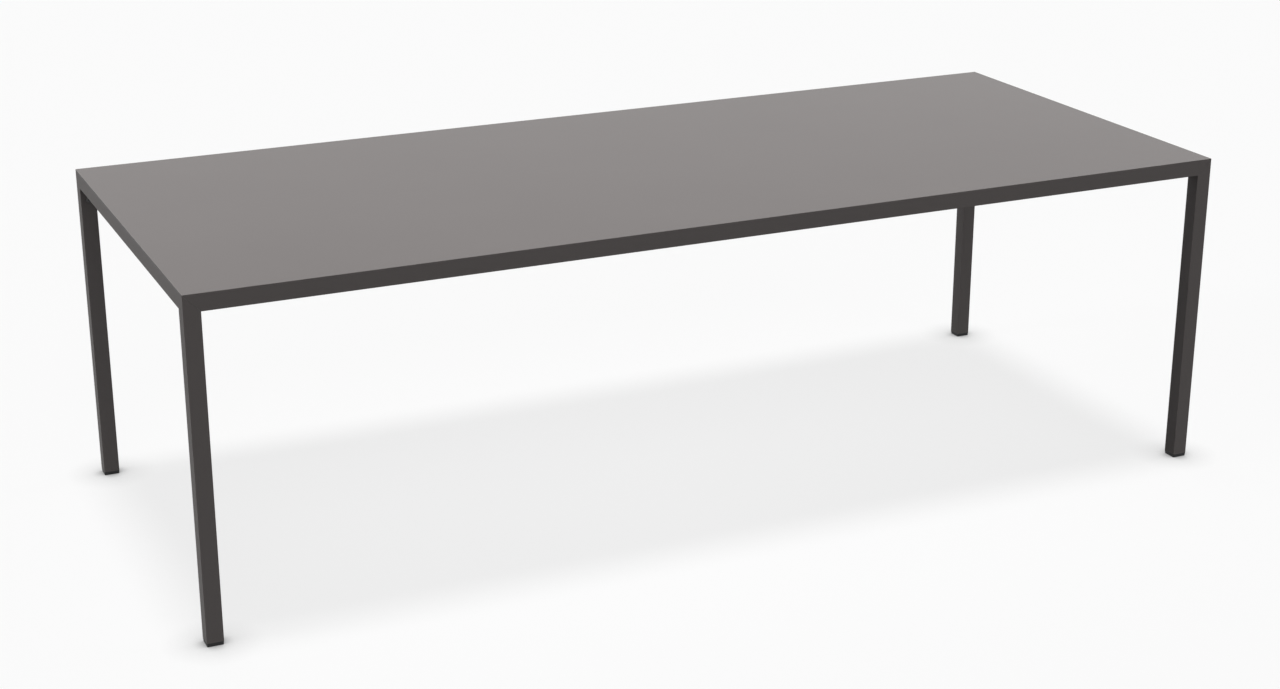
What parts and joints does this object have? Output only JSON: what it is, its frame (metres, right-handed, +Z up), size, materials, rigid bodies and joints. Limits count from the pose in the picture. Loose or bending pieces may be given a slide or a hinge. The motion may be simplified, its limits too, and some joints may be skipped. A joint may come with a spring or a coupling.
{
  "type": "dining table",
  "caption": "Long rectangular dining table: flush painted top on a mitred square-tube frame, square legs at the corners and screw-adjusted levelling feet.",
  "frame": {"origin": "on the floor, below the middle of the top", "axes": "+X along the length, to the right seen from the front; +Y to the rear; +Z up"},
  "size_m": [2.4, 1, 0.74],
  "materials": {
    "frame_coat": "matte",
    "top_coat": "satin",
    "core_wood": "matte",
    "mill_aluminium": "satin",
    "zinc_steel": "satin",
    "black_steel": "satin",
    "black_nylon": "matte",
    "bush_brass": "satin"
  },
  "bodies": {
    "table": {"top_sheet": "top_coat", "core_board": "core_wood", "backing_sheet": "mill_aluminium", "batten_1": "zinc_steel", "batten_2": "zinc_steel", "batten_3": "zinc_steel", "front_rail": "frame_coat", "right_rail": "frame_coat", "rear_rail": "frame_coat", "left_rail": "frame_coat", "front_ledge": "zinc_steel", "right_ledge": "zinc_steel", "rear_ledge": "zinc_steel", "left_ledge": "zinc_steel", "front_left_corner_block": "mill_aluminium", "front_right_corner_block": "mill_aluminium", "rear_left_corner_block": "mill_aluminium", "rear_right_corner_block": "mill_aluminium", "front_left_leg": "frame_coat", "front_right_leg": "frame_coat", "rear_left_leg": "frame_coat", "rear_right_leg": "frame_coat", "front_left_leg_plug": "black_nylon", "front_right_leg_plug": "black_nylon", "rear_left_leg_plug": "black_nylon", "rear_right_leg_plug": "black_nylon", "front_left_bush": "bush_brass", "front_right_bush": "bush_brass", "rear_left_bush": "bush_brass", "rear_right_bush": "bush_brass", "rail_screws": "black_steel", "leg_screws": "black_steel", "ledge_rivets": "mill_aluminium", "panel_screws": "zinc_steel", "batten_screws": "zinc_steel"},
    "front_left_pad": {"front_left_foot_pad": "black_nylon"},
    "front_left_stem": {"front_left_foot_stem": "zinc_steel"},
    "front_right_pad": {"front_right_foot_pad": "black_nylon"},
    "front_right_stem": {"front_right_foot_stem": "zinc_steel"},
    "rear_left_pad": {"rear_left_foot_pad": "black_nylon"},
    "rear_left_stem": {"rear_left_foot_stem": "zinc_steel"},
    "rear_right_pad": {"rear_right_foot_pad": "black_nylon"},
    "rear_right_stem": {"rear_right_foot_stem": "zinc_steel"}
  },
  "joints": [
    {"name": "front_left_foot_travel", "type": "slide", "parent": "table", "child": "front_left_pad", "axis": [0, 0, -1], "range_m": [0, 0.01]},
    {"name": "front_left_stem_turn", "type": "hinge", "parent": "front_left_pad", "child": "front_left_stem", "pos_m": [-1.1825, -0.4825, 0], "axis": [0, 0, -1], "range_deg": [0, 2880]},
    {"name": "front_right_foot_travel", "type": "slide", "parent": "table", "child": "front_right_pad", "axis": [0, 0, -1], "range_m": [0, 0.01]},
    {"name": "front_right_stem_turn", "type": "hinge", "parent": "front_right_pad", "child": "front_right_stem", "pos_m": [1.1825, -0.4825, 0], "axis": [0, 0, -1], "range_deg": [0, 2880]},
    {"name": "rear_left_foot_travel", "type": "slide", "parent": "table", "child": "rear_left_pad", "axis": [0, 0, -1], "range_m": [0, 0.01]},
    {"name": "rear_left_stem_turn", "type": "hinge", "parent": "rear_left_pad", "child": "rear_left_stem", "pos_m": [-1.1825, 0.4825, 0], "axis": [0, 0, -1], "range_deg": [0, 2880]},
    {"name": "rear_right_foot_travel", "type": "slide", "parent": "table", "child": "rear_right_pad", "axis": [0, 0, -1], "range_m": [0, 0.01]},
    {"name": "rear_right_stem_turn", "type": "hinge", "parent": "rear_right_pad", "child": "rear_right_stem", "pos_m": [1.1825, 0.4825, 0], "axis": [0, 0, -1], "range_deg": [0, 2880]}
  ],
  "couplings": [
    {"joint": "front_left_stem_turn", "follows": "front_left_foot_travel", "rad_per_m": 5026.5},
    {"joint": "front_right_stem_turn", "follows": "front_right_foot_travel", "rad_per_m": 5026.5},
    {"joint": "rear_left_stem_turn", "follows": "rear_left_foot_travel", "rad_per_m": 5026.5},
    {"joint": "rear_right_stem_turn", "follows": "rear_right_foot_travel", "rad_per_m": 5026.5}
  ]
}
